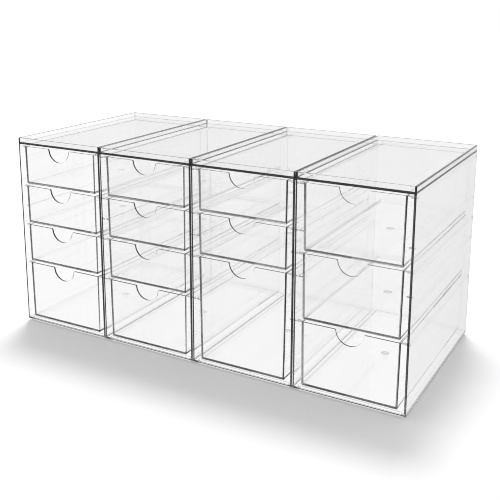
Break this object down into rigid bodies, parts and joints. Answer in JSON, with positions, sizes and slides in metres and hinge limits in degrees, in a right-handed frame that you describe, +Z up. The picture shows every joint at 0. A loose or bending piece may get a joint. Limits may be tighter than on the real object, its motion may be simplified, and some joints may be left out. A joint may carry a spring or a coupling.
{
  "type": "craft stamp storage drawers",
  "caption": "Row of clear stackable storage towers, open at the front, with small, medium and tall hanging drawers that pull out by a half-round finger notch.",
  "frame": {"origin": "on the ground, under the middle of the row of towers", "axes": "+Z up, +X along the row from tower 1 to tower 4, -Y towards the drawer fronts"},
  "size_m": [0.481, 0.225, 0.229],
  "materials": {
    "clear_case": "polished, crystal-clear polystyrene, one moulding",
    "clear_drawer": "polished, crystal-clear polystyrene, one moulding"
  },
  "bodies": {
    "tower_1": {"tower_1_case": "clear_case"},
    "tower_1_drawer_1": {"tower_1_drawer_1": "clear_drawer"},
    "tower_1_drawer_2": {"tower_1_drawer_2": "clear_drawer"},
    "tower_1_drawer_3": {"tower_1_drawer_3": "clear_drawer"},
    "tower_1_drawer_4": {"tower_1_drawer_4": "clear_drawer"},
    "tower_2": {"tower_2_case": "clear_case"},
    "tower_2_drawer_1": {"tower_2_drawer_1": "clear_drawer"},
    "tower_2_drawer_2": {"tower_2_drawer_2": "clear_drawer"},
    "tower_2_drawer_3": {"tower_2_drawer_3": "clear_drawer"},
    "tower_2_drawer_4": {"tower_2_drawer_4": "clear_drawer"},
    "tower_3": {"tower_3_case": "clear_case"},
    "tower_3_drawer_1": {"tower_3_drawer_1": "clear_drawer"},
    "tower_3_drawer_2": {"tower_3_drawer_2": "clear_drawer"},
    "tower_3_drawer_3": {"tower_3_drawer_3": "clear_drawer"},
    "tower_4": {"tower_4_case": "clear_case"},
    "tower_4_drawer_1": {"tower_4_drawer_1": "clear_drawer"},
    "tower_4_drawer_2": {"tower_4_drawer_2": "clear_drawer"},
    "tower_4_drawer_3": {"tower_4_drawer_3": "clear_drawer"}
  },
  "joints": [
    {"name": "tower_1_drawer_1_slide", "type": "slide", "parent": "tower_1", "child": "tower_1_drawer_1", "axis": [0, -1, 0], "range_m": [0, 0.175]},
    {"name": "tower_1_drawer_2_slide", "type": "slide", "parent": "tower_1", "child": "tower_1_drawer_2", "axis": [0, -1, 0], "range_m": [0, 0.175]},
    {"name": "tower_1_drawer_3_slide", "type": "slide", "parent": "tower_1", "child": "tower_1_drawer_3", "axis": [0, -1, 0], "range_m": [0, 0.175]},
    {"name": "tower_1_drawer_4_slide", "type": "slide", "parent": "tower_1", "child": "tower_1_drawer_4", "axis": [0, -1, 0], "range_m": [0, 0.175]},
    {"name": "tower_2_lift", "type": "slide", "parent": "tower_1", "child": "tower_2", "axis": [0, 0, 1], "range_m": [0, 0.24]},
    {"name": "tower_2_drawer_1_slide", "type": "slide", "parent": "tower_2", "child": "tower_2_drawer_1", "axis": [0, -1, 0], "range_m": [0, 0.175]},
    {"name": "tower_2_drawer_2_slide", "type": "slide", "parent": "tower_2", "child": "tower_2_drawer_2", "axis": [0, -1, 0], "range_m": [0, 0.175]},
    {"name": "tower_2_drawer_3_slide", "type": "slide", "parent": "tower_2", "child": "tower_2_drawer_3", "axis": [0, -1, 0], "range_m": [0, 0.175]},
    {"name": "tower_2_drawer_4_slide", "type": "slide", "parent": "tower_2", "child": "tower_2_drawer_4", "axis": [0, -1, 0], "range_m": [0, 0.175]},
    {"name": "tower_3_lift", "type": "slide", "parent": "tower_1", "child": "tower_3", "axis": [0, 0, 1], "range_m": [0, 0.24]},
    {"name": "tower_3_drawer_1_slide", "type": "slide", "parent": "tower_3", "child": "tower_3_drawer_1", "axis": [0, -1, 0], "range_m": [0, 0.175]},
    {"name": "tower_3_drawer_2_slide", "type": "slide", "parent": "tower_3", "child": "tower_3_drawer_2", "axis": [0, -1, 0], "range_m": [0, 0.175]},
    {"name": "tower_3_drawer_3_slide", "type": "slide", "parent": "tower_3", "child": "tower_3_drawer_3", "axis": [0, -1, 0], "range_m": [0, 0.175]},
    {"name": "tower_4_lift", "type": "slide", "parent": "tower_1", "child": "tower_4", "axis": [0, 0, 1], "range_m": [0, 0.24]},
    {"name": "tower_4_drawer_1_slide", "type": "slide", "parent": "tower_4", "child": "tower_4_drawer_1", "axis": [0, -1, 0], "range_m": [0, 0.175]},
    {"name": "tower_4_drawer_2_slide", "type": "slide", "parent": "tower_4", "child": "tower_4_drawer_2", "axis": [0, -1, 0], "range_m": [0, 0.175]},
    {"name": "tower_4_drawer_3_slide", "type": "slide", "parent": "tower_4", "child": "tower_4_drawer_3", "axis": [0, -1, 0], "range_m": [0, 0.175]}
  ]
}
